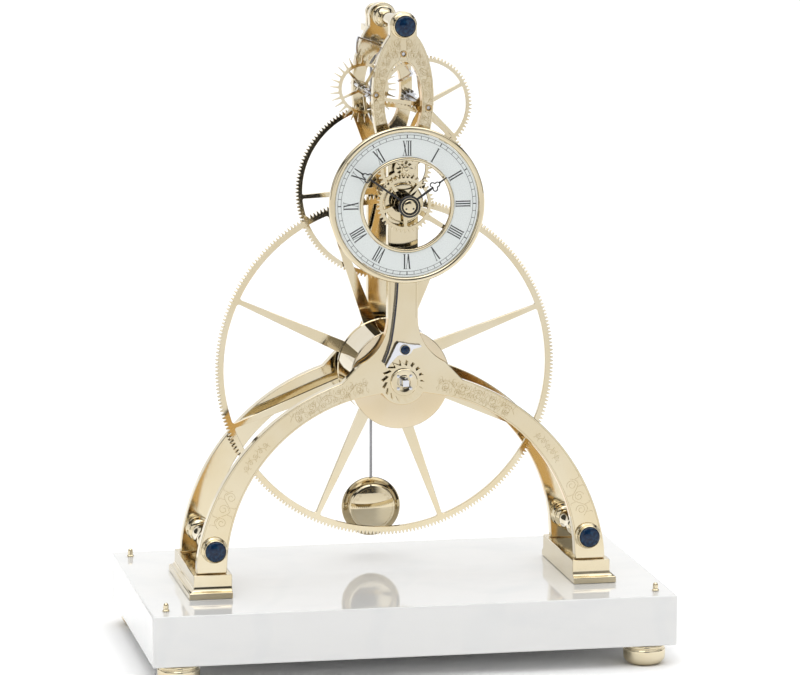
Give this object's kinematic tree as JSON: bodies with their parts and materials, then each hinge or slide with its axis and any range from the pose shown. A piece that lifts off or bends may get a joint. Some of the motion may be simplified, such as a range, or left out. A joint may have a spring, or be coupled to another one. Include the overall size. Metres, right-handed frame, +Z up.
{
  "type": "skeleton clock",
  "caption": "Arched two-plate skeleton clock on a marble slab, with an open going train, anchor, skeleton dial and rear pendulum.",
  "frame": {"origin": "centre of the footprint, level with the undersides of the four feet", "axes": "+Z up; the dial faces -Y; +X is to the right as the dial is read"},
  "size_m": [0.383, 0.223, 0.4734],
  "materials": {
    "gold": "polished and lacquered",
    "steel": "polished steel",
    "blued_steel": "blued steel",
    "marble": "polished white marble",
    "lapis": "polished lapis",
    "dial_white": "satin white enamel"
  },
  "bodies": {
    "frame": {"base_slab": "marble", "foot_front_left": "gold", "foot_front_right": "gold", "foot_rear_left": "gold", "foot_rear_right": "gold", "pin_front_left": "gold", "pin_front_right": "gold", "pin_rear_left": "gold", "pin_rear_right": "gold", "plinth_left": "gold", "plinth_right": "gold", "front_plate": "gold", "rear_plate": "gold", "pillar_left": "gold", "pillar_right": "gold", "pillar_top": "gold", "jewel_cup_left": "gold", "jewel_cup_right": "gold", "jewel_cup_top": "gold", "jewel_left": "lapis", "jewel_right": "lapis", "jewel_top": "lapis", "pillar_nut_left": "gold", "pillar_nut_right": "gold", "suspension_cock": "gold", "cock_nut": "gold", "click_screw": "lapis", "click_spring": "blued_steel", "minute_stud": "gold", "dial_ring": "dial_white", "dial_bezel": "gold", "dial_inner_ring": "gold"},
    "barrel": {"barrel_drum": "gold", "barrel_cover": "gold", "great_wheel": "gold", "mainspring": "blued_steel"},
    "winding": {"barrel_arbor": "steel", "ratchet_wheel": "gold"},
    "click": {"click": "steel"},
    "centre": {"centre_arbor": "steel", "centre_wheel": "gold", "cannon_pinion": "steel", "minute_hand": "blued_steel", "hand_nut": "steel"},
    "minute_work": {"minute_wheel": "gold"},
    "hour": {"hour_wheel": "gold", "hour_hand": "blued_steel"},
    "third": {"third_arbor": "steel", "third_wheel": "gold"},
    "escape": {"escape_arbor": "steel", "escape_wheel": "gold"},
    "anchor": {"pallet_arbor": "steel", "pallets": "blued_steel", "crutch": "steel"},
    "pendulum": {"suspension_spring": "steel", "pendulum_rod": "steel", "pendulum_bob": "gold"},
    "rating": {"rating_nut": "gold"}
  },
  "joints": [
    {"name": "centre_spin", "type": "hinge", "parent": "frame", "child": "centre", "pos_m": [0, 0, 0.3363], "axis": [0, 1, 0], "continuous": true},
    {"name": "great_wheel_spin", "type": "hinge", "parent": "frame", "child": "barrel", "pos_m": [0, 0, 0.2063], "axis": [0, 1, 0], "continuous": true},
    {"name": "third_spin", "type": "hinge", "parent": "frame", "child": "third", "pos_m": [0.0184, 0, 0.4041], "axis": [0, 1, 0], "continuous": true},
    {"name": "escape_spin", "type": "hinge", "parent": "frame", "child": "escape", "pos_m": [-0.0198, 0, 0.4139], "axis": [0, 1, 0], "continuous": true},
    {"name": "minute_work_spin", "type": "hinge", "parent": "frame", "child": "minute_work", "pos_m": [0, 0, 0.3613], "axis": [0, 1, 0], "continuous": true},
    {"name": "hour_spin", "type": "hinge", "parent": "frame", "child": "hour", "pos_m": [0, 0, 0.3363], "axis": [0, 1, 0], "continuous": true},
    {"name": "winding_spin", "type": "hinge", "parent": "frame", "child": "winding", "pos_m": [0, 0, 0.2063], "axis": [0, 1, 0], "continuous": true},
    {"name": "click_pivot", "type": "hinge", "parent": "frame", "child": "click", "pos_m": [0.0008, 0, 0.2297], "axis": [0, 1, 0], "range_deg": [0, 4], "stiffness_Nm_per_rad": 0.02, "springref_deg": -2.86},
    {"name": "pendulum_swing", "type": "hinge", "parent": "frame", "child": "pendulum", "pos_m": [0, 0.069, 0.4431], "axis": [0, 1, 0], "range_deg": [-2, 2]},
    {"name": "anchor_swing", "type": "hinge", "parent": "frame", "child": "anchor", "pos_m": [0, 0, 0.4431], "axis": [0, 1, 0], "range_deg": [-2, 2]},
    {"name": "rating_nut_spin", "type": "hinge", "parent": "pendulum", "child": "rating", "pos_m": [0, 0.069, 0.0806], "axis": [0, 0, 1], "continuous": true}
  ],
  "couplings": [
    {"joint": "great_wheel_spin", "follows": "centre_spin", "ratio": -0.034722},
    {"joint": "third_spin", "follows": "centre_spin", "ratio": -12.5},
    {"joint": "escape_spin", "follows": "centre_spin", "ratio": 100},
    {"joint": "minute_work_spin", "follows": "centre_spin", "ratio": -0.33333},
    {"joint": "hour_spin", "follows": "centre_spin", "ratio": 0.083333},
    {"joint": "anchor_swing", "follows": "pendulum_swing", "ratio": 1}
  ]
}
